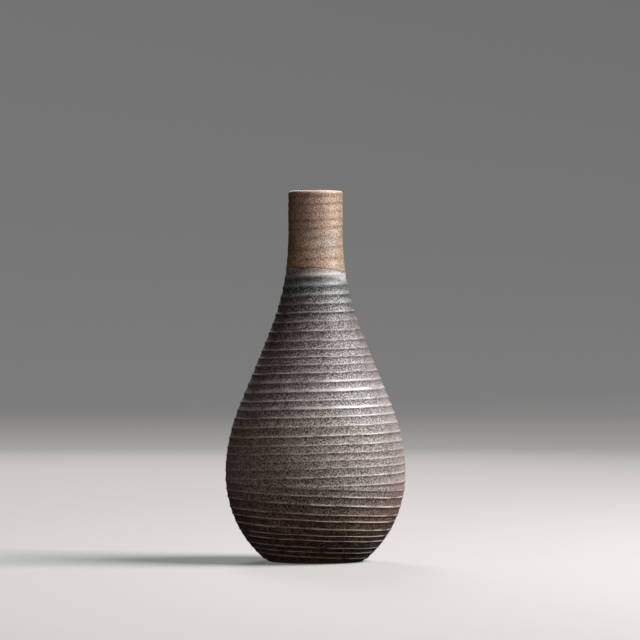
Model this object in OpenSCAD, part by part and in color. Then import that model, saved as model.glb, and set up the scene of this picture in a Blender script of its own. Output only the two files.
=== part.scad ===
// Thrown stoneware bottle vase: two thrown clay sections and a neck, joined with slip at stepped
// seams, and coated with three glazes. Millimetres, +Z up, origin at the centre of the foot.

/* [Outline] */
// Overall height
total_h = 165; // [158:0.5:172]
// Diameter at the widest line of the belly
belly_d = 80.3; // [76:0.1:84]
// Height of the widest line
belly_z = 38.5; // [36:0.5:41]
// Radius of the arc from the foot up to the widest line
low_arc_r = 49; // [46:0.5:54]
// Radius of the arc from the widest line up to the straight shoulder
high_arc_r = 81; // [72:0.5:88]
// Radius of the hollow curve that runs into the neck
neck_arc_r = 115; // [105:1:125]
// Outer diameter of the neck
neck_d = 24.1; // [22:0.1:26]
// Height at which the neck becomes straight
neck_arc_z = 146; // [143:0.5:149]
// Radius of the rounded edges of the lip
lip_r = 1.2; // [0.9:0.05:1.5]

/* [Wall] */
// Thickness of the clay wall
wall_t = 2.5; // [2.2:0.1:3.2]
// Thickness of each coat of glaze
glaze_t = 0.45; // [0.3:0.05:0.5]
// Height of the inside floor, glaze included
floor_h = 6; // [5:0.5:8]
// Radius of the inside corner between floor and wall
heel_r = 9; // [6:0.5:12]

/* [Foot] */
// Width of the flat ring that the vase stands on
foot_ring_w = 4.5; // [3:0.5:6]
// Depth of the hollow inside the ring
foot_recess_h = 1.4; // [0.8:0.1:2]
// Height of the worn edge around the foot
foot_edge_h = 0.6; // [0.3:0.1:0.8]
// Bare clay between the ground and the glaze, measured up the wall
bare_foot = 2; // [1.6:0.1:3]

/* [Grooves] */
// Number of finger grooves below the widest line
low_grooves = 12; // [9:1:14]
// Number of finger grooves above the widest line
high_grooves = 24; // [18:1:28]
// Depth of the finger grooves
groove_h = 0.38; // [0.2:0.02:0.5]
// Number of throwing rings on the neck
neck_rings = 8; // [6:1:10]
// Depth of the throwing rings
ring_h = 0.1; // [0.05:0.01:0.15]

/* [Seams] */
// Height of the seam under the neck
neck_seam_z = 130.5; // [126:0.5:134]
// Height of the step in each seam
step_h = 3; // [2:0.5:4]
// Thickness of the joining slip
slip_t = 0.35; // [0.2:0.05:0.5]

/* [Hidden] */
DEG = 180 / PI;
turn_fn = 96;      // sides of a full turn
groove_steps = 4;  // straight runs across one groove
bend_step = 3.5;   // longest straight run along a smooth curve
corner_steps = 4;  // straight runs around a small rounded edge
beyond = 10;       // how far a cutting shape runs past the wall

belly_r = belly_d / 2;
neck_r = neck_d / 2;
shell_t = wall_t + 2 * glaze_t;
bore_r = neck_r - shell_t;

// Centres of the three arcs of the outline, as [radius, height]
low_c = [belly_r - low_arc_r, belly_z];
high_c = [belly_r - high_arc_r, belly_z];
neck_c = [neck_r + neck_arc_r, neck_arc_z];

// Lean of the straight shoulder, which touches the arcs on both sides of it
span = neck_c - high_c;
lean = atan2(span[1], span[0]) - acos((high_arc_r + neck_arc_r) / norm(span));
foot_a = asin(belly_z / low_arc_r);
shoulder_low = high_c + high_arc_r * [cos(lean), sin(lean)];
shoulder_high = neck_c - neck_arc_r * [cos(lean), sin(lean)];

// Distances up the wall from the ground: the places where one stretch of the outline meets the next
belly_s = low_arc_r * foot_a / DEG;
shoulder_s = belly_s + high_arc_r * lean / DEG;
hollow_s = shoulder_s + norm(shoulder_high - shoulder_low);
neck_s = hollow_s + neck_arc_r * lean / DEG;
lip_s = neck_s + total_h - lip_r - neck_arc_z;
neck_seam_s = neck_s - neck_arc_r * asin((neck_arc_z - neck_seam_z) / neck_arc_r) / DEG;

// The outline s up the wall, as [radius, height, tilt of the outward normal]
function on_arc(centre, r, tilt) = [centre[0] + r * cos(tilt), centre[1] + r * sin(tilt), tilt];
function on_shoulder(run) =
    [shoulder_low[0] - run * sin(lean), shoulder_low[1] + run * cos(lean), lean];
function on_hollow(tilt) =
    [neck_c[0] - neck_arc_r * cos(tilt), neck_c[1] - neck_arc_r * sin(tilt), tilt];
function outline(s) =
    s < belly_s ? on_arc(low_c, low_arc_r, s / low_arc_r * DEG - foot_a) :
    s < shoulder_s ? on_arc(high_c, high_arc_r, (s - belly_s) / high_arc_r * DEG) :
    s < hollow_s ? on_shoulder(s - shoulder_s) :
    s < neck_s ? on_hollow((neck_s - s) / neck_arc_r * DEG) :
    [neck_r, neck_arc_z + s - neck_s, 0];

// The point of the wall at s, depth under the outline
function skin(s, depth) =
    let (p = outline(s))
    [p[0] - depth * cos(p[2]), p[1] - depth * sin(p[2])];

// Count hollow scallops from one place to another, without the first point
function scallops(from, to, count, scallop_h, depth) =
    [for (i = [1 : count * groove_steps])
        let (along = i / (count * groove_steps), t = (i % groove_steps) / groove_steps)
        skin(from + (to - from) * along, depth + 4 * scallop_h * t * (1 - t))];

// A smooth stretch of the wall, without its first point
function bend(from, to, depth) =
    let (count = ceil((to - from) / bend_step))
    [for (i = [1 : count]) skin(from + (to - from) * i / count, depth)];

// A rounded edge from one angle to another
function corner(centre, r, from, to) =
    [for (i = [0 : corner_steps])
        let (a = from + (to - from) * i / corner_steps)
        centre + r * [cos(a), sin(a)]];

function backwards(points) = [for (i = [len(points) - 1 : -1 : 0]) points[i]];

// The grooved outside of the body, from the edge of the bare foot to the neck seam
function body_outside(depth) = concat(
    [skin(bare_foot, depth)],
    scallops(bare_foot, belly_s, low_grooves, groove_h, depth),
    scallops(belly_s, neck_seam_s, high_grooves, groove_h, depth));

// The ringed outside of the neck, over the lip and into the mouth, above the neck seam
function neck_outside(depth) = concat(
    scallops(neck_seam_s, lip_s, neck_rings, ring_h, depth),
    corner([neck_r - lip_r, total_h - lip_r], lip_r - depth, 0, 90),
    corner([bore_r + lip_r, total_h - lip_r], lip_r - depth, 90, 180));

// The inside, from the middle of the floor to the straight part of the neck: the glaze's own face,
// or the clay's face when coat is the glaze's thickness
heel_x = low_c[0] + sqrt(pow(low_arc_r - shell_t - heel_r, 2) - pow(belly_z - floor_h - heel_r, 2));
heel_c = [heel_x, floor_h + heel_r];
heel_tilt = atan2(heel_c[1] - belly_z, heel_c[0] - low_c[0]);
heel_s = low_arc_r * (heel_tilt + foot_a) / DEG;
function inside(coat) = concat(
    [[0, floor_h - coat]],
    corner(heel_c, heel_r + coat, -90, heel_tilt),
    bend(heel_s, belly_s, shell_t - coat),
    bend(belly_s, shoulder_s, shell_t - coat),
    [skin(hollow_s, shell_t - coat)],
    bend(hollow_s, neck_s, shell_t - coat));

// The underside: a shallow hollow, the flat ring and its worn edge
function clay_foot_r(z) = low_c[0] + sqrt(pow(low_arc_r - glaze_t, 2) - pow(belly_z - z, 2));
ring_outer_r = clay_foot_r(0) - foot_edge_h;
ring_inner_r = ring_outer_r - foot_ring_w;
function underside() = [
    [0, foot_recess_h],
    [ring_inner_r - foot_recess_h, foot_recess_h],
    [ring_inner_r, 0],
    [ring_outer_r, 0],
    [clay_foot_r(foot_edge_h), foot_edge_h]];

// Half of a cut through all of the clay
module clay_section() {
    polygon(concat(
        underside(),
        body_outside(glaze_t),
        neck_outside(glaze_t),
        backwards(inside(glaze_t))));
}

// All that lies below a stepped seam: the step stands up inside radius r
module below(seam, grow = 0) {
    z = seam[1] + grow;
    r = seam[0] + grow;
    polygon([
        [0, -beyond], [belly_r + beyond, -beyond], [belly_r + beyond, z],
        [r, z], [r, z + step_h], [0, z + step_h]]);
}

belly_seam = [belly_r - glaze_t - wall_t / 2, belly_z];
neck_seam = [skin(neck_seam_s, glaze_t + wall_t / 2)[0], skin(neck_seam_s, glaze_t)[1]];

module turned() {
    rotate_extrude($fn = turn_fn) children();
}

module lower_body() {
    color("#4a3a33") turned() intersection() {
        clay_section();
        below(belly_seam);
    }
}

module belly_seam_slip() {
    color("#7a6a5e") turned() intersection() {
        clay_section();
        difference() {
            below(belly_seam, slip_t);
            below(belly_seam);
        }
    }
}

module upper_body() {
    color("#57463e") turned() intersection() {
        clay_section();
        difference() {
            below(neck_seam);
            below(belly_seam, slip_t);
        }
    }
}

module neck_seam_slip() {
    color("#7a6a5e") turned() intersection() {
        clay_section();
        difference() {
            below(neck_seam, slip_t);
            below(neck_seam);
        }
    }
}

module neck() {
    color("#65524a") turned() difference() {
        clay_section();
        below(neck_seam, slip_t);
    }
}

module liner_glaze() {
    color("#2f2b28") turned()
        polygon(concat(inside(0), backwards(inside(glaze_t))));
}

module body_glaze() {
    color("#6d625e") turned()
        polygon(concat(body_outside(0), backwards(body_outside(glaze_t))));
}

module neck_glaze() {
    color("#a88b6f") turned()
        polygon(concat(
            [skin(neck_seam_s, 0)],
            neck_outside(0),
            [[bore_r, neck_arc_z], [bore_r + glaze_t, neck_arc_z]],
            backwards(neck_outside(glaze_t)),
            [skin(neck_seam_s, glaze_t)]));
}

lower_body();
belly_seam_slip();
upper_body();
neck_seam_slip();
neck();
liner_glaze();
body_glaze();
neck_glaze();
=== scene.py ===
import math

import bpy
import numpy as np
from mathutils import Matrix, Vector


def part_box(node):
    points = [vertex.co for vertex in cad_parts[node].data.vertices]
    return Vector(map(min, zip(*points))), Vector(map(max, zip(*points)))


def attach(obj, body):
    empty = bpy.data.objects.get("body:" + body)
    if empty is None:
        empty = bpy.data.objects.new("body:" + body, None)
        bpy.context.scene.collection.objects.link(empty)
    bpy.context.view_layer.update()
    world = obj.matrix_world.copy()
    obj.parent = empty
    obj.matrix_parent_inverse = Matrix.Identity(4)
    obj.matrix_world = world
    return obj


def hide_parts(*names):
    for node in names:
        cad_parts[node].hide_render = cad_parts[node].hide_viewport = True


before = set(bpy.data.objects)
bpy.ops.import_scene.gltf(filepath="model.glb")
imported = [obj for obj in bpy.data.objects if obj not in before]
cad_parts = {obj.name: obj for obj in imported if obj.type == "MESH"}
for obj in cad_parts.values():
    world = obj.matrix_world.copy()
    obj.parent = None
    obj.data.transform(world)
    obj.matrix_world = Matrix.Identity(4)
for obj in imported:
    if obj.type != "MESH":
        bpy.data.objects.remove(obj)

MM = 0.001
TURN = 2 * math.pi
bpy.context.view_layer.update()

# ---------------------------------------------------------------- sizes, from the frame
GLAZE_LOW, GLAZE_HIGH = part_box("body_glaze")
NECK_LOW, NECK_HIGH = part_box("neck_glaze")
LINER_LOW, LINER_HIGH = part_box("liner_glaze")

TOP_Z = NECK_HIGH.z                 # top of the lip
BELLY_R = GLAZE_HIGH.x              # the widest line
SEAM_Z = NECK_LOW.z                 # where the neck's glaze begins
NECK_ARC_Z = LINER_HIGH.z           # above this the neck is straight
FLOOR_Z = LINER_LOW.z               # underside of the inner glaze, on the clay floor

# Sizes that the boxes don't give; they are those of the CAD source
BELLY_Z = 38.5 * MM
LOW_ARC_R = 49 * MM
HIGH_ARC_R = 81 * MM
NECK_ARC_R = 115 * MM
NECK_R = 12.05 * MM
BORE_R = 8.65 * MM
LIP_R = 1.2 * MM
GLAZE_T = 0.45 * MM
HEEL_R = 9 * MM
STEP_H = 3 * MM
FOOT_RING_W = 4.5 * MM
FOOT_RECESS_H = 1.4 * MM
FOOT_EDGE_H = 0.6 * MM
BARE_FOOT = 2 * MM

SHELL_T = NECK_R - BORE_R
CLAY_T = SHELL_T - 2 * GLAZE_T

# ---------------------------------------------------------------- relief
COLUMNS = 216                       # sides of a full turn
GROOVE_H = 0.31 * MM                # depth of the finger grooves
LOW_PITCH = 3.6 * MM                # from one groove to the next on the lower spiral
HIGH_PITCH = 4.04 * MM              # and on the upper one
LOW_START_S = 39.58 * MM            # turn 0 of the lower spiral, measured up the wall
HIGH_START_S = 43.36 * MM           # and of the upper one
SEAM_MEET_S = 40.8 * MM             # where the two spirals meet, measured up the wall
SEAM_MEET_TILT = 1.9 * MM           # how far that dips on one side and rises on the other
# parts of a groove at which the mesh has a row, down from its crest
GROOVE_ROWS = (0.0, 0.045, 0.1, 0.18, 0.3, 0.45, 0.6, 0.74, 0.83, 0.9, 0.955)
LEDGE = 0.17                        # part of a groove that its ledge takes
LOW_LEDGE = 0.11                    # the same near the foot
BOLD_LEDGE = 0.34                   # what a boldly pressed turn adds to that
BOLD_S = (75.4 * MM, 83.3 * MM, 87.4 * MM)  # where those turns are, measured up the wall
BOLD_REACH = 1.9 * MM               # how far from there a turn is still pressed boldly
END_FADE = 1.4 * MM                 # stretch over which the relief begins above the foot
COLLAPSE = 0.06 * MM                # rows nearer than this to an edge end on it
EDGE_ROLL = 0.3 * MM                # roundness of the glaze's edge at the foot
TRIM_PITCH = 1.65 * MM              # from one trimming line under the foot to the next
TRIM_H = 0.09 * MM                  # depth of the trimming lines
GAP = 0.01 * MM                     # between faces that would otherwise lie on each other
BACK_STEP = 4 * MM                  # from one ring of a glaze's back to the next
NECK_PITCH = 4.12 * MM              # from one throwing ring on the neck to the next
NECK_RING_H = 0.1 * MM              # depth of those rings
NECK_PROUD = 0.1 * MM               # how far the tan glaze stands out from the outline
DIP_ROUND = 0.16 * MM               # roundness of its lower edge
LIP_STEP = math.radians(15)         # from one ring of points to the next around the lip
MEAN_R = 30 * MM                    # radius at which the lengths of waves round the vase are meant


# ================================================================ outline of the vase
class Outline:
    """The side of the vase as three arcs and a straight shoulder that touch one another."""

    def __init__(self):
        self.low = np.array([BELLY_R - LOW_ARC_R, BELLY_Z])
        self.high = np.array([BELLY_R - HIGH_ARC_R, BELLY_Z])
        self.neck = np.array([NECK_R + NECK_ARC_R, NECK_ARC_Z])
        span = self.neck - self.high
        reach = HIGH_ARC_R + NECK_ARC_R
        self.lean = math.atan2(span[1], span[0]) - math.acos(reach / np.linalg.norm(span))
        self.foot_a = math.asin(BELLY_Z / LOW_ARC_R)
        along = np.array([math.cos(self.lean), math.sin(self.lean)])
        self.shoulder_low = self.high + HIGH_ARC_R * along
        self.shoulder_high = self.neck - NECK_ARC_R * along
        self.belly_s = LOW_ARC_R * self.foot_a
        self.shoulder_s = self.belly_s + HIGH_ARC_R * self.lean
        straight = np.linalg.norm(self.shoulder_high - self.shoulder_low)
        self.hollow_s = self.shoulder_s + straight
        self.neck_s = self.hollow_s + NECK_ARC_R * self.lean
        self.lip_s = self.neck_s + TOP_Z - LIP_R - NECK_ARC_Z

    def tilt(self, s):
        """Tilt of the outward normal above the horizontal, s up the wall."""
        return np.select(
            [s < self.belly_s, s < self.shoulder_s, s < self.hollow_s, s < self.neck_s],
            [s / LOW_ARC_R - self.foot_a, (s - self.belly_s) / HIGH_ARC_R,
             np.full_like(s, self.lean), (self.neck_s - s) / NECK_ARC_R],
            0.0)

    def skin(self, s, depth):
        """Radius and height of the point s up the wall and depth under the outline."""
        s = np.asarray(s, float)
        a = self.tilt(s)
        run = s - self.shoulder_s
        r = np.select(
            [s < self.belly_s, s < self.shoulder_s, s < self.hollow_s, s < self.neck_s],
            [self.low[0] + LOW_ARC_R * np.cos(a), self.high[0] + HIGH_ARC_R * np.cos(a),
             self.shoulder_low[0] - run * np.sin(a), self.neck[0] - NECK_ARC_R * np.cos(a)],
            NECK_R)
        z = np.select(
            [s < self.belly_s, s < self.shoulder_s, s < self.hollow_s, s < self.neck_s],
            [self.low[1] + LOW_ARC_R * np.sin(a), self.high[1] + HIGH_ARC_R * np.sin(a),
             self.shoulder_low[1] + run * np.cos(a), self.neck[1] - NECK_ARC_R * np.sin(a)],
            NECK_ARC_Z + s - self.neck_s)
        return r - depth * np.cos(a), z - depth * np.sin(a)

    def s_at(self, z):
        """How far up the wall a height is, for the outline itself."""
        steps = np.linspace(0, self.lip_s, 4001)
        return np.interp(z, self.skin(steps, 0.0)[1], steps)


WALL = Outline()
SEAM_S = WALL.s_at(SEAM_Z)


# ================================================================ hand-made unevenness
class Ripple:
    """A smooth wobble over the wall: a few waves round the vase and up it, the same each run."""

    def __init__(self, seed, height, shortest_round, shortest_up, waves=14):
        rng = np.random.default_rng(seed)
        most = max(2, int(TURN * MEAN_R / shortest_round))
        self.turns = rng.integers(0, most + 1, waves)
        self.painted_side_shade = rng.uniform(-1, 1, waves) * TURN / shortest_up
        self.phase = rng.uniform(0, TURN, waves)
        self.height = height * math.sqrt(2 / waves)

    def at(self, theta, s):
        total = np.zeros(np.broadcast(theta, s).shape)
        for turns, painted_side_shade, phase in zip(self.turns, self.painted_side_shade, self.phase):
            total = total + np.sin(turns * theta + painted_side_shade * s + phase)
        return self.height * total


# seed, height, shortest wave round the vase, shortest wave up it, number of waves
BODY_SWELL = Ripple(3, 0.06 * MM, 60 * MM, 60 * MM)
CREST_DRIFT = Ripple(11, 0.08 * MM, 16 * MM, 30 * MM)
CREST_WEAR = Ripple(17, 0.45, 9 * MM, 6 * MM, 30)
NECK_SWELL = Ripple(5, 0.05 * MM, 25 * MM, 14 * MM)


def smooth(low, high, x):
    t = np.clip((x - low) / (high - low), 0, 1)
    return t * t * (3 - 2 * t)


def groove(t, ledge, soft):
    """Depth of a groove, 0 to 1, t of the way down from its crest: it drops away under the crest,
    runs hollow, and comes up in a ledge to the next crest. Soft grooves drop away more slowly."""
    drop = smooth(0, 0.27 + 0.15 * soft, t)
    hollow = 1 - 0.3 * (2 * t - 0.9) ** 2
    return drop * hollow * smooth(1, 1 - ledge, t)


def pooled_and_shaded(t, soft):
    """How thick the glaze lies in a groove and how much shade is painted there, 0 to 1: most just under
    the crest, where shade falls, then less and less.
    """
    return smooth(0.03 - 0.03 * soft, 0.14 + 0.4 * soft, t) * (1 - 0.8 * t)


def crest_line(t, width):
    """How near the very crest a point is, 1 on it: a line that also reaches up into the next groove,
    over width of it."""
    return np.maximum(smooth(0.06, 0, t), smooth(1 - width, 0.95, t))


# ================================================================ meshes
class Builder:
    """Collects the rings and faces of a turned piece. Theta 0 is the front and grows to the right."""

    def __init__(self, columns=COLUMNS):
        self.columns = columns
        self.theta = np.arange(columns) * TURN / columns - math.pi
        self.points = []
        self.relief = []
        self.crest = []
        self.count = 0
        self.faces = []
        self.last = None

    def add(self, r, theta, z, relief, crest):
        self.points.append(np.stack([r * np.sin(theta), -r * np.cos(theta), z], 1))
        self.relief.append(np.broadcast_to(relief, theta.shape))
        self.crest.append(np.broadcast_to(crest, theta.shape))
        start = self.count
        self.count += len(theta)
        return np.arange(start, self.count)

    def ring(self, r, z, relief=0.0, crest=0.0):
        """Adds one point in each column and returns their numbers."""
        r = np.broadcast_to(r, self.theta.shape)
        z = np.broadcast_to(z, self.theta.shape)
        return self.add(r, self.theta, z, relief, crest).tolist()

    def pole(self, z):
        """Adds one point on the axis, as a ring whose points are all that one."""
        number = self.add(np.zeros(1), np.zeros(1), np.array([z]), 0.0, 0.0)[0]
        return [int(number)] * self.columns

    def face(self, corners):
        kept = [c for i, c in enumerate(corners) if c != corners[i - 1]]
        if len(set(kept)) > 2:
            self.faces.append(kept)

    def join(self, lower, upper):
        """Faces between two rings, the outside to the right of the way from lower to upper."""
        for j in range(self.columns):
            k = (j + 1) % self.columns
            self.face([lower[j], lower[k], upper[k], upper[j]])

    def go(self, r, z, relief=0.0):
        """Adds a ring and joins it to the one before, the outside to the right of the way."""
        here = self.ring(r, z, relief)
        self.join(self.last, here)
        self.last = here

    def spiral(self, low, high, low_s, high_s, turns, hand, place, press):
        """A spiral sheet between two rings, with a row of points along each crest and between them.

        place(turn, theta) says how far up the wall a turn is. press(t, turn, theta, s) says how deep
        it lies, t of the way down from its crest, and its relief and crest values. A row that runs
        past the ring low or high ends on it."""
        rows = [(turn + 1 - part, part) for turn in range(*turns) for part in reversed(GROOVE_ROWS)]
        table = []
        for row, part in rows:
            turn = row + hand * self.theta / TURN
            s = place(turn, self.theta)
            depth, relief, crest = press(part, turn, self.theta, s)
            r, z = WALL.skin(s, depth)
            numbers = np.where(s <= low_s + COLLAPSE, low, high)
            here = np.flatnonzero((s > low_s + COLLAPSE) & (s < high_s - COLLAPSE))
            numbers[here] = self.add(r[here], self.theta[here], z[here], relief[here], crest[here])
            table.append(numbers.tolist())
        last = self.columns - 1
        for i in range(len(table) - 1):
            below, above = table[i], table[i + 1]
            for j in range(last):
                self.face([below[j], below[j + 1], above[j + 1], above[j]])
            # the last column meets the first, one turn of the spiral further on
            n = i + hand * len(GROOVE_ROWS)
            if 0 <= n < len(table) - 1:
                self.face([below[last], table[n][0], table[n + 1][0], above[last]])

    def build(self, name):
        mesh = bpy.data.meshes.new(name)
        points = np.concatenate(self.points)
        mesh.from_pydata(points.tolist(), [], self.faces)
        mesh.polygons.foreach_set("use_smooth", [True] * len(mesh.polygons))
        around = np.arctan2(points[:, 0], -points[:, 1])
        values = {
            "relief": np.concatenate(self.relief),
            "crest": np.concatenate(self.crest),
            "band": points[:, 2] - band_edge_z(around),
        }
        for key, value in values.items():
            attribute = mesh.attributes.new(key, "FLOAT", "POINT")
            attribute.data.foreach_set("value", value.astype(np.float32))
        mesh.validate()
        mesh.update()
        piece = bpy.data.objects.new(name, mesh)
        bpy.context.scene.collection.objects.link(piece)
        return piece


def band_edge_z(theta):
    """The lower edge of the tan glaze: it was dipped a little askew, so it is lowest on the right."""
    drips = 0.1 * np.sin(9 * theta + 2) + 0.07 * np.sin(16 * theta + 0.7)
    return SEAM_Z + MM * (drips - 0.95 * np.sin(theta + 0.2) + 0.25 * np.sin(3 * theta + 1))


def band_edge_s(theta):
    return WALL.s_at(band_edge_z(theta))


def back_stations(low_s, high_s):
    """Even places up the wall for the rings of a glaze's back."""
    count = max(1, round((high_s - low_s) / BACK_STEP))
    return np.linspace(low_s, high_s, count + 1)


# ---------------------------------------------------------------- the grooved body glaze
def meet_s(theta):
    """Where the two spirals meet: lower on the right of the vase than on the left."""
    return SEAM_MEET_S - SEAM_MEET_TILT * np.sin(theta + 0.35)


def high_place(turn, theta):
    """How far up the wall a turn of the upper spiral lies. The spacing wanders, as a hand does."""
    even = HIGH_START_S + HIGH_PITCH * turn
    wander = 0.69 * np.sin(0.3 * turn + 1.95) + 0.61 * np.sin(0.5 * turn + 2.54)
    wander += 0.36 * np.sin(1.1 * turn + 0.51)
    lean = 0.6 * MM * smooth(20, 2, turn) * np.sin(theta)
    return even + wander * MM + lean + CREST_DRIFT.at(theta, even)


def low_place(turn, theta):
    """How far up the wall a turn of the lower spiral lies; turns count down from where they meet."""
    even = LOW_START_S + LOW_PITCH * turn
    wander = 0.73 * np.sin(0.55 * turn + 0.76) + 0.38 * np.sin(2.35 * turn - 1.1)
    lean = -1.15 * MM * (np.sin(theta + 0.2) - math.sin(0.2))
    return even + wander * MM + lean + CREST_DRIFT.at(theta, even)


def groove_press(t, turn, theta, s, ledge, line, soft, bold, bottom_s):
    """Depth of the glaze under the outline; how much shade is painted just under the crest, where the
    glaze also lies thick, 0 to 1; and how near a crest a point is, 0 to 1. A boldly pressed turn is
    pressed and worn evenly, and its crest counts up to 1.5, which paints a highlight on it."""
    # the fingers pressed less above the line where the two spirals meet, in front and to the left
    patch = np.exp(-((theta + 0.45) / 0.75) ** 2 - ((s - 51 * MM) / (7 * MM)) ** 2)
    meet = smooth(0, 0.9 * MM, np.abs(s - meet_s(theta)))
    ends = smooth(0, END_FADE, s - bottom_s) * smooth(0, 2.5 * MM, band_edge_s(theta) - s)
    uneven = 1 + 0.18 * np.sin(2.7 * turn + 0.6) + 0.12 * np.sin(5.1 * turn + theta)
    uneven = uneven + (1.06 - uneven) * bold
    slack = 1 - 0.35 * np.exp(-((s - 50 * MM) / (8 * MM)) ** 2)
    press = uneven * slack * (1 - 0.6 * patch) * meet * ends
    # near the foot the grooves are shallower, but their lines are as clear as elsewhere
    shallow = 1 - 0.45 * smooth(32 * MM, 18 * MM, s)
    relief = groove(t, ledge, soft) * press * shallow
    depth = GROOVE_H * relief + BODY_SWELL.at(theta, s) * ends
    worn = np.clip(0.65 + CREST_WEAR.at(theta, s) + 0.3 * smooth(36 * MM, 24 * MM, s), 0.1, 1)
    # painted light: above the widest line the pale crest lines fade out on the right-hand side, where
    # the light falls full on the vase
    painted_right_fade = 1 - 0.6 * smooth(math.radians(44), math.radians(66), theta) * smooth(42 * MM, 50 * MM, s)
    # a bold turn is glossy from the front to the right, and there its crest counts higher, which paints
    # a highlight on it
    glossy = bold * smooth(math.radians(-8), math.radians(22), theta) * painted_right_fade
    worn = (worn + (1 - worn) * glossy) * np.clip(press, 0, 1) * painted_right_fade * (1 + 0.5 * glossy)
    # painted shade just under each crest, where the glaze also lies thick
    pool_and_shade = pooled_and_shaded(t, soft) * np.clip(press, 0, 1.2)
    return np.clip(depth, -0.15 * MM, GLAZE_T - 0.05 * MM), pool_and_shade, crest_line(t, line) * worn


def body_glaze():
    build = Builder()
    theta = build.theta
    bottom_s = WALL.s_at(GLAZE_LOW.z)
    top_s = band_edge_s(theta) - GAP
    meet = meet_s(theta)
    swell = BODY_SWELL.at(theta, meet) * smooth(0, END_FADE, meet - bottom_s)
    # the lower edge, rolled round where the glaze was wiped off the foot
    wiped_s = bottom_s + 0.12 * MM * np.sin(2 * theta + 0.4) + 0.05 * MM * np.sin(7 * theta)
    low_s = wiped_s + EDGE_ROLL
    bottom = build.ring(*WALL.skin(low_s, 0.0))
    bulge = build.ring(*WALL.skin(wiped_s + 0.3 * EDGE_ROLL, 0.25 * EDGE_ROLL))
    tuck = build.ring(*WALL.skin(wiped_s, 0.7 * EDGE_ROLL), 0.8)
    build.join(tuck, bulge)
    build.join(bulge, bottom)
    middle = build.ring(*WALL.skin(meet, swell))
    top = build.ring(*WALL.skin(top_s, 0.0))

    def low_press(t, turn, around, s):
        high = smooth(18 * MM, 36 * MM, s)
        ledge = LOW_LEDGE + (LEDGE - LOW_LEDGE) * high
        return groove_press(t, turn, around, s, ledge, 0.17 - 0.05 * high, 0.0, 0.0, bottom_s)

    def high_press(t, turn, around, s):
        bold = sum(np.exp(-((s - at) / BOLD_REACH) ** 2) for at in BOLD_S)
        upper = smooth(18.6, 21, turn)
        # on a bold turn the pale crest line reaches wide up its ledge, as part of its painted highlight
        wide = np.maximum(bold, 0.7 * upper)
        return groove_press(t, turn, around, s, LEDGE + BOLD_LEDGE * wide, 0.11 + 0.41 * wide,
                            0.35 * upper, np.clip(bold, 0, 1), bottom_s)

    low_turns = (-math.ceil((LOW_START_S - bottom_s) / LOW_PITCH) - 2, 2)
    high_turns = (-2, math.ceil((top_s.max() - HIGH_START_S) / HIGH_PITCH) + 2)
    build.spiral(bottom, middle, low_s, meet, low_turns, -1, low_place, low_press)
    build.spiral(middle, top, meet, top_s, high_turns, 1, high_place, high_press)

    back_s = list(back_stations(bottom_s + EDGE_ROLL, top_s.min() - 1 * MM)) + [top_s]
    back = [build.ring(*WALL.skin(s + 0 * theta, GLAZE_T - GAP), 1.0) for s in back_s]
    build.join(top, back[-1])
    for upper, lower in zip(back[:0:-1], back[-2::-1]):
        build.join(upper, lower)
    build.join(back[0], tuck)
    return build.build("grooved_body_glaze")


# ---------------------------------------------------------------- the neck's glaze
def neck_place(turn, theta):
    """How far up the wall a throwing ring on the neck lies."""
    even = SEAM_S + 5.2 * MM + NECK_PITCH * turn
    wander = 0.95 * MM * np.sin(0.75 * turn - 0.25)
    return even + wander + NECK_SWELL.at(theta, even) * 2


def neck_press(t, turn, theta, s):
    """As groove_press, for a throwing ring on the neck, with painted shade just under its crest."""
    uneven = 1 + 0.3 * np.sin(2.1 * turn + 1) + 0.25 * np.sin(3 * theta + turn)
    ends = smooth(0, 2 * MM, WALL.lip_s - s)
    relief = NECK_RING_H * groove(t, 0.65, 0.0) * uneven + NECK_SWELL.at(theta, s)
    shade = smooth(0, 0.18, t) * smooth(0.6, 0.18, t) * uneven
    return relief * ends - NECK_PROUD, shade * ends, crest_line(t, 0.2) * ends


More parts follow.
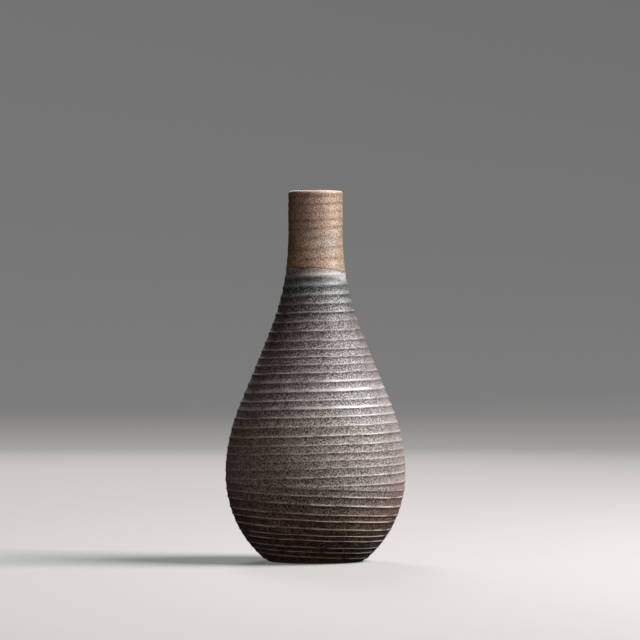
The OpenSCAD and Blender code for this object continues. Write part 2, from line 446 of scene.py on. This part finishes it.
def neck_glaze():
    build = Builder(columns=192)
    theta = build.theta
    edge_s = band_edge_s(theta)
    low_s = edge_s + 1.6 * DIP_ROUND
    tuck = build.ring(*WALL.skin(edge_s, 0.0), 0.6)
    bulge = build.ring(*WALL.skin(edge_s + 0.4 * DIP_ROUND, -0.4 * NECK_PROUD), 0.5)
    low = build.ring(*WALL.skin(low_s, -0.8 * NECK_PROUD), 0.4)
    build.join(tuck, bulge)
    build.join(bulge, low)
    top_s = WALL.lip_s
    top = build.ring(*WALL.skin(top_s + 0 * theta, -NECK_PROUD))
    turns = (-2, math.ceil((top_s - SEAM_S) / NECK_PITCH) + 2)
    build.spiral(low, top, low_s, top_s, turns, 1, neck_place, neck_press)

    # over the lip, a little uneven, and down the bore
    outer_c, inner_c = NECK_R - LIP_R, BORE_R + LIP_R
    lip_z = TOP_Z - LIP_R
    wave = 0.06 * MM * np.sin(2 * theta + 0.5) + 0.04 * MM * np.sin(5 * theta)
    build.last = top
    for i in range(1, 7):
        a = i * LIP_STEP
        proud = NECK_PROUD * math.cos(a)
        build.go(outer_c + (LIP_R + proud) * math.cos(a), lip_z + (LIP_R + wave) * math.sin(a), 0.1)
    for i in range(6, 13):
        a = i * LIP_STEP
        build.go(inner_c + LIP_R * math.cos(a), lip_z + (LIP_R + wave) * math.sin(a), 0.1)
    for z in np.linspace(lip_z, NECK_ARC_Z, 9)[1:]:
        build.go(BORE_R, z, 0.5)

    # the glaze's back, up the bore, over the lip and down the outside of the clay
    back_r = BORE_R + GLAZE_T - GAP
    back_lip = LIP_R - GLAZE_T + GAP
    build.go(back_r, NECK_ARC_Z, 1.0)
    build.go(back_r, lip_z, 1.0)
    for centre, angles in ((inner_c, (157.5, 135, 112.5, 90)), (outer_c, (90, 67.5, 45, 22.5, 0))):
        for angle in angles:
            a = math.radians(angle)
            build.go(centre + back_lip * math.cos(a), lip_z + back_lip * math.sin(a), 1.0)
    for s in back_stations(float(edge_s.max()) + 1 * MM, top_s)[-2::-1]:
        build.go(*WALL.skin(s + 0 * theta, GLAZE_T - GAP), 1.0)
    build.go(*WALL.skin(edge_s, GLAZE_T - GAP), 1.0)
    build.join(build.last, tuck)
    return build.build("tan_neck_glaze")


# ---------------------------------------------------------------- the clay of the lower section
def clay_foot_r(z):
    """Radius of the clay's outside at height z near the ground."""
    return float(WALL.low[0]) + math.sqrt((LOW_ARC_R - GLAZE_T) ** 2 - (BELLY_Z - z) ** 2)


def trimmed(r, theta):
    """The hollow under the foot, with the spiral line that the trimming tool left and its nub."""
    turn = r / TRIM_PITCH - theta / TURN
    line = TRIM_H * (turn - np.floor(turn)) ** 2 * smooth(0.8 * MM, 2 * MM, r)
    nub = 0.35 * MM * smooth(1.6 * MM, 0.3 * MM, r)
    return FOOT_RECESS_H - line - nub


def turn_foot(build):
    """From the middle of the underside over the foot ring and round its worn edge."""
    ring_outer_r = clay_foot_r(0) - FOOT_EDGE_H
    ring_inner_r = ring_outer_r - FOOT_RING_W
    flat_r = ring_outer_r - FOOT_EDGE_H / 2
    hollow_r = ring_inner_r - FOOT_RECESS_H
    build.last = build.pole(float(trimmed(0.0, 0.0)))
    for r in np.linspace(0, hollow_r, 72)[1:]:
        build.go(r, trimmed(r, build.theta))
    for t in np.linspace(0, 1, 7)[1:]:
        # the inner side of the ring, hollow at its foot and rounded where the ring begins
        r = hollow_r + (ring_inner_r - hollow_r) * t
        build.go(r, FOOT_RECESS_H * (1 - smooth(0, 1, t)), float(t))
    for r in np.linspace(ring_inner_r, flat_r, 6)[1:]:
        build.go(r, 0.0, 1.0)
    start = np.array([flat_r, 0.0])
    knee = np.array([clay_foot_r(0), 0.0])
    end = np.array([clay_foot_r(FOOT_EDGE_H), FOOT_EDGE_H])
    for t in np.linspace(0, 1, 8)[1:]:
        r, z = (1 - t) ** 2 * start + 2 * t * (1 - t) * knee + t * t * end
        build.go(r, z, 1 - float(t))


def raise_wall(build):
    """Up the outside, just under the glaze, and over the rim, whose inner half stands up."""
    theta = build.theta
    glazed_s = BARE_FOOT + 0.6 * MM
    pitted = Ripple(23, 0.02 * MM, 5 * MM, 1 * MM)
    for s in np.linspace(WALL.s_at(FOOT_EDGE_H), glazed_s, 9)[1:]:
        pits = pitted.at(theta, s) ** 2 / (0.03 * MM)
        build.go(*WALL.skin(s + 0 * theta, GLAZE_T + GAP + pits))
    for s in np.linspace(glazed_s, WALL.belly_s, 14)[1:]:
        build.go(*WALL.skin(s, GLAZE_T + GAP))
    seam_r = BELLY_R - GLAZE_T - CLAY_T / 2
    build.go(seam_r + GAP, BELLY_Z)
    build.go(seam_r - GAP, BELLY_Z + STEP_H)


def hollow_out(build):
    """Down the inside, along the liner's back, and across the floor."""
    step_s = WALL.s_at(BELLY_Z + STEP_H) + 0.12 * MM
    heel_reach = LOW_ARC_R - SHELL_T - HEEL_R
    heel_z = FLOOR_Z + GLAZE_T + HEEL_R
    heel_r = float(WALL.low[0]) + math.sqrt(heel_reach ** 2 - (BELLY_Z - heel_z) ** 2)
    heel_tilt = math.atan2(heel_z - BELLY_Z, heel_r - float(WALL.low[0]))
    heel_s = LOW_ARC_R * (heel_tilt + WALL.foot_a)
    for s in np.linspace(step_s, heel_s, 12):
        build.go(*WALL.skin(s, SHELL_T - GLAZE_T - GAP))
    bend_r = HEEL_R + GLAZE_T + GAP
    for a in np.linspace(heel_tilt, -math.pi / 2, 10)[1:]:
        build.go(heel_r + bend_r * math.cos(a), heel_z + bend_r * math.sin(a))
    build.join(build.last, build.pole(FLOOR_Z - GAP))


def lower_clay():
    """The thrown lower section of clay, from its trimmed foot to its stepped rim."""
    build = Builder(columns=144)
    turn_foot(build)
    raise_wall(build)
    hollow_out(build)
    return build.build("trimmed_lower_clay")


# ================================================================ materials
class Nodes:
    """Adds nodes to a new material and links them."""

    def __init__(self, name):
        self.material = bpy.data.materials.new(name)
        self.material.use_nodes = True
        self.tree = self.material.node_tree
        self.shader = self.tree.nodes["Principled BSDF"]
        self.place = self.add("ShaderNodeTexCoord").outputs["Object"]

    def feed(self, socket, value):
        if isinstance(value, bpy.types.NodeSocket):
            self.tree.links.new(value, socket)
        else:
            socket.default_value = value

    def add(self, kind, settings=None, **inputs):
        node = self.tree.nodes.new(kind)
        for key, value in (settings or {}).items():
            setattr(node, key, value)
        for key, value in inputs.items():
            self.feed(node.inputs[key], value)
        return node

    def noise(self, size, detail=3.0, roughness=0.55, stretch=(1, 1, 1)):
        """Noise whose lumps are about size metres across, stretched along an axis. It is turned, so
        that the grid it is made on doesn't show as upright and level lines."""
        turned = self.add("ShaderNodeMapping", Vector=self.place, Scale=stretch,
                          Rotation=(0.6, 0.9, 0.4))
        node = self.add("ShaderNodeTexNoise", Vector=turned.outputs[0], Scale=1 / size,
                        Detail=detail, Roughness=roughness)
        return node.outputs["Fac"]

    def math(self, operation, a, b=0.0):
        node = self.add("ShaderNodeMath", {"operation": operation})
        self.feed(node.inputs[0], a)
        self.feed(node.inputs[1], b)
        return node.outputs[0]

    def times(self, a, b):
        return self.math("MULTIPLY", a, b)

    def steps(self, value, low, high, to_low=0.0, to_high=1.0):
        """Maps a range of value smoothly to another and holds it beyond the ends."""
        node = self.add("ShaderNodeMapRange", {"interpolation_type": "SMOOTHSTEP"}, Value=value)
        ends = {"From Min": low, "From Max": high, "To Min": to_low, "To Max": to_high}
        for key, number in ends.items():
            self.feed(node.inputs[key], number)
        return node.outputs["Result"]

    def ramp(self, value, stops):
        node = self.add("ShaderNodeValToRGB", Fac=value)
        band = node.color_ramp
        while len(band.elements) < len(stops):
            band.elements.new(0.5)
        for element, (place, colour) in zip(band.elements, stops):
            element.position = place
            element.color = (*colour, 1)
        return node.outputs["Color"]

    def mix(self, share, a, b, blend="MIX"):
        node = self.add("ShaderNodeMix", {"data_type": "RGBA", "blend_type": blend})
        self.feed(node.inputs[0], share)
        self.feed(node.inputs[6], (*a, 1) if isinstance(a, tuple) else a)
        self.feed(node.inputs[7], (*b, 1) if isinstance(b, tuple) else b)
        return node.outputs[2]

    def place_along(self, axis):
        return self.add("ShaderNodeSeparateXYZ", Vector=self.place).outputs[axis]

    def height(self):
        """Height above the ground, from 0 at the foot to 1 at the lip."""
        return self.math("DIVIDE", self.place_along("Z"), TOP_Z)

    def around(self):
        """Angle round the vase, 0 in front and growing to the right."""
        return self.math("ARCTAN2", self.place_along("X"), self.times(self.place_along("Y"), -1.0))

    def near(self, spot, reach):
        """1 at a spot on the object, falling to 0 at a distance of reach."""
        node = self.add("ShaderNodeVectorMath", {"operation": "DISTANCE"})
        self.feed(node.inputs[0], self.place)
        self.feed(node.inputs[1], spot)
        return self.steps(node.outputs["Value"], reach, 0.0)

    def grey(self, value):
        """A light grey where value is above 0 and a dark one where it is below."""
        sides = [(0.49, srgb(60, 52, 48)), (0.51, srgb(190, 182, 176))]
        return self.ramp(self.math("ADD", value, 0.5), sides)

    def attribute(self, name):
        return self.add("ShaderNodeAttribute", {"attribute_name": name}).outputs["Fac"]

    def bump(self, value, distance, below=None):
        node = self.add("ShaderNodeBump", Height=value)
        node.inputs["Strength"].default_value = 1.0
        node.inputs["Distance"].default_value = distance
        if below is not None:
            self.feed(node.inputs["Normal"], below)
        return node.outputs[0]


def srgb(r, g, b):
    """A colour given as it looks on screen, 0 to 255, in the renderer's linear values."""
    def linear(c):
        c /= 255
        return c / 12.92 if c < 0.04045 else ((c + 0.055) / 1.055) ** 2.4
    return (linear(r), linear(g), linear(b))


def dark_glaze(n, up, band, relief, around):
    """The dark glaze's colour: brown at the foot, darkened there with painted shade, a brown-grey above
    it, blue-black near the neck with a pale band under the tan glaze that is painted lighter on the
    right, and darker just under the crests with painted shade, where the glaze also lies thick."""
    # painted shade: the dark of the foot is raised higher at the sides and the back, for the shade low
    # on those sides
    side_shade_reach = n.steps(n.math("ABSOLUTE", around), 0.45, 1.15, 0.0, 0.042)
    painted_side_shade = n.times(side_shade_reach, n.steps(up, 0.27, 0.2))
    # darker towards the foot: the glaze's own brown there, deepened with painted shade near the ground
    by_height = n.ramp(n.math("SUBTRACT", up, painted_side_shade), [
        (0.00, srgb(60, 22, 12)),
        (0.04, srgb(52, 17, 8)),
        (0.08, srgb(99, 56, 42)),
        (0.13, srgb(134, 101, 88)),
        (0.20, srgb(172, 157, 155)),
        (0.30, srgb(159, 143, 137)),
        (0.42, srgb(164, 152, 150)),
        (0.52, srgb(144, 130, 129)),
        (0.60, srgb(116, 103, 103)),
        (0.66, srgb(103, 92, 91)),
        (0.70, srgb(88, 80, 79)),
    ])
    # painted shade: darker just under each crest, where the glaze also lies thick
    pooled_and_shaded_dark = n.mix(n.times(relief, 0.55), by_height, srgb(30, 24, 23))
    cloud = n.steps(n.noise(4 * MM, 3.0), 0.3, 0.7, -0.12, 0.12)
    clouded = n.mix(n.math("ABSOLUTE", cloud), pooled_and_shaded_dark, n.grey(cloud))
    # in the blue-black zone too, painted shade darkens the glaze under the crests
    gunmetal = n.mix(n.steps(relief, 0.15, 0.75), srgb(114, 115, 115), srgb(62, 62, 63))
    body = n.mix(blue_zone(n, band), clouded, gunmetal)
    # painted light: the pale band is paler on the right, where the light falls, than on the left
    painted_light_side = n.steps(n.place_along("X"), -9 * MM, 3 * MM, 0.35, 1.0)
    pale_band = n.times(n.steps(band, -4.6 * MM, -2.6 * MM), painted_light_side)
    pale = n.mix(pale_band, body, srgb(176, 170, 166))
    return n.mix(n.steps(band, -0.6 * MM, -0.05 * MM, 0.0, 0.7), pale, srgb(72, 54, 42))


def blue_zone(n, band):
    """1 near the neck, where the glaze is blue-black, and 0 below that."""
    return n.steps(band, -20 * MM, -9 * MM)


def speckled_share(n, band, around):
    """How much the glaze is speckled: less under the tan glaze and on the right-hand side."""
    quiet = n.times(n.steps(around, 0.85, 1.35, 0.0, 0.35), n.steps(around, 2.6, 1.9))
    pale_quiet = n.steps(band, -12 * MM, -4 * MM, 0.0, 0.45)
    return n.math("SUBTRACT", 1.0, n.math("MAXIMUM", quiet, pale_quiet))


def speckle(n, colour, mixed, share):
    """Dark and light specks, both worked out from the colour they lie on."""
    pepper = n.times(share, n.steps(mixed, 0.45, 0.53, 1.0, 0.0))
    peppery = n.mix(1.0, colour, n.math("SUBTRACT", 1.0, pepper), "MULTIPLY")
    salt = n.times(share, n.steps(mixed, 0.55, 0.62, 0.0, 0.7))
    return n.mix(salt, peppery, n.mix(0.5, colour, srgb(236, 232, 228)))


def crest_colour(n, colour, up, band, crest):
    """The glaze where it broke thin on a crest: pale, warmer near the foot, greyer near the neck, and
    paler still on the bold crests, which is a painted highlight.
    """
    toasted = n.mix(n.steps(up, 0.24, 0.06), srgb(224, 226, 225), srgb(218, 190, 174))
    rim = n.mix(blue_zone(n, band), toasted, srgb(154, 156, 158))
    # painted highlight: the bold crests are paler still
    bold = n.steps(crest, 0.95, 1.5, 0.0, 0.3)
    return n.mix(n.math("ADD", n.steps(up, 0.26, 0.1, 0.38, 0.95), bold), colour, rim)


def crest_share(n, band, crest, mixed):
    """How much of that shows: broken up by the specks, but not on the boldest crests, whose painted
    highlight runs unbroken.
    """
    specks = n.steps(mixed, 0.42, 0.54, 0.6, 1.0)
    beaded = n.math("MAXIMUM", specks, n.steps(crest, 1.0, 1.4, 0.0, 0.9))
    faint = n.steps(band, -36 * MM, -16 * MM, 0.95, 0.72)
    return n.times(n.times(crest, beaded), faint)


def body_glaze_material():
    """Dark iron glaze: speckled, blue-black near the neck, with pale lines on its crests."""
    n = Nodes("body_glaze_look")
    drift = n.math("SUBTRACT", n.noise(13 * MM, 2.0), 0.5)
    up = n.math("ADD", n.height(), n.times(drift, 0.05))
    band = n.math("ADD", n.attribute("band"), n.times(drift, 3 * MM))
    relief, crest = n.attribute("relief"), n.attribute("crest")
    around = n.around()
    mixed = n.noise(0.5 * MM, 4.0, 0.65)

    glaze = dark_glaze(n, up, band, relief, around)
    share = speckled_share(n, band, around)
    speckled = speckle(n, glaze, mixed, share)
    lined = n.mix(crest_share(n, band, crest, mixed), speckled, crest_colour(n, glaze, up, band, crest))
    n.feed(n.shader.inputs["Base Color"], lined)
    satin = n.math("ADD", n.steps(mixed, 0.35, 0.65, 0.62, 0.5), n.steps(up, 0.3, 0.1, 0.0, 0.22))
    rough = n.math("SUBTRACT", satin, n.times(crest, 0.12))
    n.feed(n.shader.inputs["Roughness"], rough)
    n.feed(n.shader.inputs["Normal"], n.bump(n.times(mixed, share), 0.15 * MM))
    return n.material


def tan_glaze(n, streak, side, relief):
    """The tan glaze's colour: streaked; olive on the right, and darker there with painted shade; dark
    brown painted shade on the left; and painted shade in the rings.
    """
    stops = [(0.32, srgb(152, 127, 108)), (0.5, srgb(172, 146, 127)), (0.7, srgb(190, 164, 146))]
    tan = n.ramp(streak, stops)
    # partly painted shade: the olive on the right also darkens that edge of the neck
    olive = n.mix(n.steps(side, 7.5 * MM, 11.8 * MM, 0.0, 0.8), tan, srgb(128, 114, 90))
    # painted shade: the left side of the neck is darkened with a dark brown
    brown = n.mix(n.steps(side, -5.5 * MM, -11.5 * MM, 0.0, 0.75), olive, srgb(76, 58, 45))
    broken = n.steps(n.noise(2.6 * MM, 3.0, 0.6, (0.6, 0.6, 1.0)), 0.4, 0.6, 0.05, 0.42)
    # painted shade in the throwing rings, just under each crest, broken up a little
    return n.mix(n.times(n.steps(relief, 0.1, 1.0), broken), brown, srgb(72, 50, 37))


def flame_marks(n, colour, streak):
    """Warm clouds, a flush under the lip and a patch of ash lower down on the right."""
    cloud = n.steps(n.noise(9 * MM, 3.0), 0.46, 0.64, 0.0, 0.22)
    warmed = n.mix(cloud, colour, srgb(160, 112, 92))
    flush = n.near((-3 * MM, -11.5 * MM, 158 * MM), 13 * MM)
    flushed = n.mix(n.times(flush, 0.28), warmed, srgb(150, 98, 78))
    ash = n.times(n.near((6 * MM, -10.5 * MM, 141 * MM), 7.5 * MM), n.steps(streak, 0.3, 0.5))
    return n.mix(n.times(ash, 0.65), flushed, srgb(146, 156, 150))


def rusty_edge(n, colour, side, band):
    """The lower edge of the tan glaze: rusty on the left and in front, and a dark line under it."""
    rust = n.times(n.steps(band, 4.6 * MM, 2.4 * MM), n.steps(side, 8 * MM, 2 * MM))
    rusty = n.mix(n.times(rust, 0.5), colour, srgb(168, 108, 74))
    dark_line = n.times(n.steps(band, 0.9 * MM, 0.1 * MM), n.steps(side, 9 * MM, 1 * MM, 0.25, 0.75))
    return n.mix(dark_line, rusty, srgb(70, 48, 34))


def neck_glaze_material():
    """Tan glaze: fine grain, darker with painted shade in the throwing rings, rusty and dark where it
    ends.
    """
    n = Nodes("neck_glaze_look")
    side = n.place_along("X")
    streak = n.noise(5 * MM, 4.0, 0.6, (0.25, 0.25, 1.0))
    marked = flame_marks(n, tan_glaze(n, streak, side, n.attribute("relief")), streak)
    edged = rusty_edge(n, marked, side, n.attribute("band"))

    grain = n.noise(0.47 * MM, 4.0, 0.6)
    dark = n.mix(n.times(n.steps(grain, 0.52, 0.42), 0.62), edged, srgb(58, 40, 30))
    light = n.mix(n.times(n.steps(grain, 0.53, 0.62), 0.5), dark, srgb(220, 202, 182))
    # the lip is paler: the glaze worn thin on the rim, and a painted highlight along its top
    lip = n.steps(n.height(), 0.9935, 0.9995)
    worn = n.mix(n.times(lip, 0.5), light, srgb(206, 188, 168))
    n.feed(n.shader.inputs["Base Color"], worn)
    n.feed(n.shader.inputs["Roughness"], n.steps(grain, 0.35, 0.65, 0.62, 0.46))
    n.feed(n.shader.inputs["Normal"], n.bump(grain, 0.09 * MM))
    return n.material


def foot_material():
    """Bare fired clay: toasted beside the glaze, smooth and a little paler where it has stood."""
    n = Nodes("bare_foot_look")
    grain = n.noise(0.5 * MM, 4.0)
    cloud = n.noise(7 * MM, 3.0)
    base = n.ramp(cloud, [(0.3, srgb(78, 56, 44)), (0.7, srgb(104, 78, 60))])
    grit = n.mix(n.times(n.steps(grain, 0.56, 0.66), 0.55), base, srgb(150, 126, 104))
    spots = n.steps(n.noise(1.1 * MM, 2.0), 0.62, 0.7)
    iron = n.mix(n.times(spots, 0.7), grit, srgb(38, 26, 21))
    worn = n.mix(n.times(n.attribute("relief"), 0.35), iron, srgb(142, 122, 104))
    n.feed(n.shader.inputs["Base Color"], worn)
    n.feed(n.shader.inputs["Roughness"], n.steps(n.attribute("relief"), 0.0, 1.0, 0.88, 0.66))
    n.feed(n.shader.inputs["Normal"], n.bump(grain, 0.07 * MM))
    return n.material


def clay_material():
    """Raw fired clay, for the sections and the slip that the glazes cover."""
    n = Nodes("bare_clay_look")
    grain = n.noise(0.5 * MM, 4.0)
    cloud = n.noise(9 * MM, 2.0)
    base = n.ramp(cloud, [(0.3, srgb(74, 54, 44)), (0.7, srgb(98, 76, 62))])
    grit = n.mix(n.times(n.steps(grain, 0.55, 0.7), 0.5), base, srgb(132, 110, 92))
    n.feed(n.shader.inputs["Base Color"], grit)
    n.feed(n.shader.inputs["Roughness"], n.steps(grain, 0.3, 0.7, 0.8, 0.95))
    n.feed(n.shader.inputs["Normal"], n.bump(grain, 0.08 * MM))
    return n.material


def liner_material():
    """Dark, glossy glaze inside the vase."""
    n = Nodes("liner_glaze_look")
    cloud = n.noise(6 * MM, 3.0)
    dark = n.ramp(cloud, [(0.3, srgb(40, 34, 30)), (0.7, srgb(62, 54, 48))])
    n.feed(n.shader.inputs["Base Color"], dark)
    n.feed(n.shader.inputs["Roughness"], n.steps(cloud, 0.3, 0.7, 0.2, 0.35))
    return n.material


def dress(piece, material):
    piece.data.materials.clear()
    piece.data.materials.append(material)


# ================================================================ pieces on the frame
def place_pieces():
    """The three modelled pieces in place of their CAD nodes, and materials on the other nodes."""
    clay, liner = clay_material(), liner_material()
    grooved = body_glaze()
    dress(grooved, body_glaze_material())
    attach(grooved, "root")
    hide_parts("body_glaze")
    banded = neck_glaze()
    dress(banded, neck_glaze_material())
    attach(banded, "root")
    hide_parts("neck_glaze")
    foot = lower_clay()
    dress(foot, foot_material())
    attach(foot, "root")
    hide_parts("lower_body")
    for node in ("upper_body", "neck", "belly_seam_slip", "neck_seam_slip"):
        dress(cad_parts[node], clay)
    dress(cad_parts["liner_glaze"], liner)


# ================================================================ stage, light and camera
def studio():
    """A pale floor that sweeps up all round. The camera sees it, but it gives the vase no light."""
    flat_r, sweep_r, wall_h = 1.6, 2.4, 4.0
    build = Builder(columns=96)
    rings = [build.pole(0.0), build.ring(0.3, 0.0), build.ring(flat_r, 0.0)]
    for a in np.linspace(0, math.pi / 2, 13)[1:]:
        rings.append(build.ring(flat_r + sweep_r * math.sin(a), sweep_r * (1 - math.cos(a))))
    rings.append(build.ring(flat_r + sweep_r, wall_h))
    for lower, upper in zip(rings[1:], rings):
        build.join(lower, upper)
    floor = build.build("studio_floor")
    dress(floor, paper_material())
    floor.visible_diffuse = False
    floor.visible_glossy = False


def paper_material():
    """Matt pale paper that glows a little, so that it stays pale away from the lights."""
    n = Nodes("studio_paper")
    n.shader.inputs["Base Color"].default_value = (0.36, 0.35, 0.34, 1)
    n.shader.inputs["Emission Color"].default_value = (0.95, 0.97, 1.0, 1)
    n.shader.inputs["Emission Strength"].default_value = 0.12
    n.shader.inputs["Roughness"].default_value = 0.9
    n.shader.inputs["Specular IOR Level"].default_value = 0.1
    return n.material


def soft_light(name, azimuth, elevation, distance, size, power, colour):
    """A soft light, size wide and high, that faces the middle of the vase. Azimuth 0 is in front
    and 90 on the right, both in degrees."""
    light = bpy.data.lights.new(name, "AREA")
    light.shape = "RECTANGLE"
    light.size, light.size_y = size
    light.energy = power
    light.color = colour
    lamp = bpy.data.objects.new(name, light)
    a, e = math.radians(azimuth), math.radians(elevation)
    away = Vector((math.sin(a) * math.cos(e), -math.cos(a) * math.cos(e), math.sin(e)))
    lamp.location = Vector((0, 0, TOP_Z / 2)) + away * distance
    lamp.rotation_mode = "QUATERNION"
    lamp.rotation_quaternion = (-away).to_track_quat("-Z", "Y")
    lamp.visible_camera = False
    bpy.context.scene.collection.objects.link(lamp)


def lights():
    soft_light("key", 81, 41, 1.3, (0.9, 0.7), 44.5, (1.0, 0.99, 0.98))
    soft_light("low_fill", -6, 5, 1.6, (0.6, 0.3), 4.0, (1.0, 0.84, 0.72))
    soft_light("left_fill", -55, 28, 1.6, (0.8, 0.8), 1.1, (1.0, 0.94, 0.88))
    soft_light("back_fill", 188, 33, 1.6, (0.4, 0.8), 11, (1.0, 0.97, 0.94))


def room():
    """The faint warm light of the room, and colours shown as they are."""
    world = bpy.data.worlds.new("studio")
    world.use_nodes = True
    background = world.node_tree.nodes["Background"]
    background.inputs["Color"].default_value = (1.0, 0.82, 0.68, 1)
    background.inputs["Strength"].default_value = 0.019
    bpy.context.scene.world = world
    bpy.context.scene.view_settings.view_transform = "Standard"


def camera():
    """A long lens that looks at the vase from the front, level with the top of its shoulder."""
    data = bpy.data.cameras.new("camera")
    data.sensor_width = 36
    data.lens = 247.5
    eye = Vector((0.002, -1.96, 0.112))
    aim = Vector((0.002, 0, 0.1075))
    cam = bpy.data.objects.new("camera", data)
    cam.location = eye
    cam.rotation_mode = "QUATERNION"
    cam.rotation_quaternion = (aim - eye).to_track_quat("-Z", "Y")
    bpy.context.scene.collection.objects.link(cam)
    bpy.context.scene.camera = cam


place_pieces()
studio()
lights()
room()
camera()
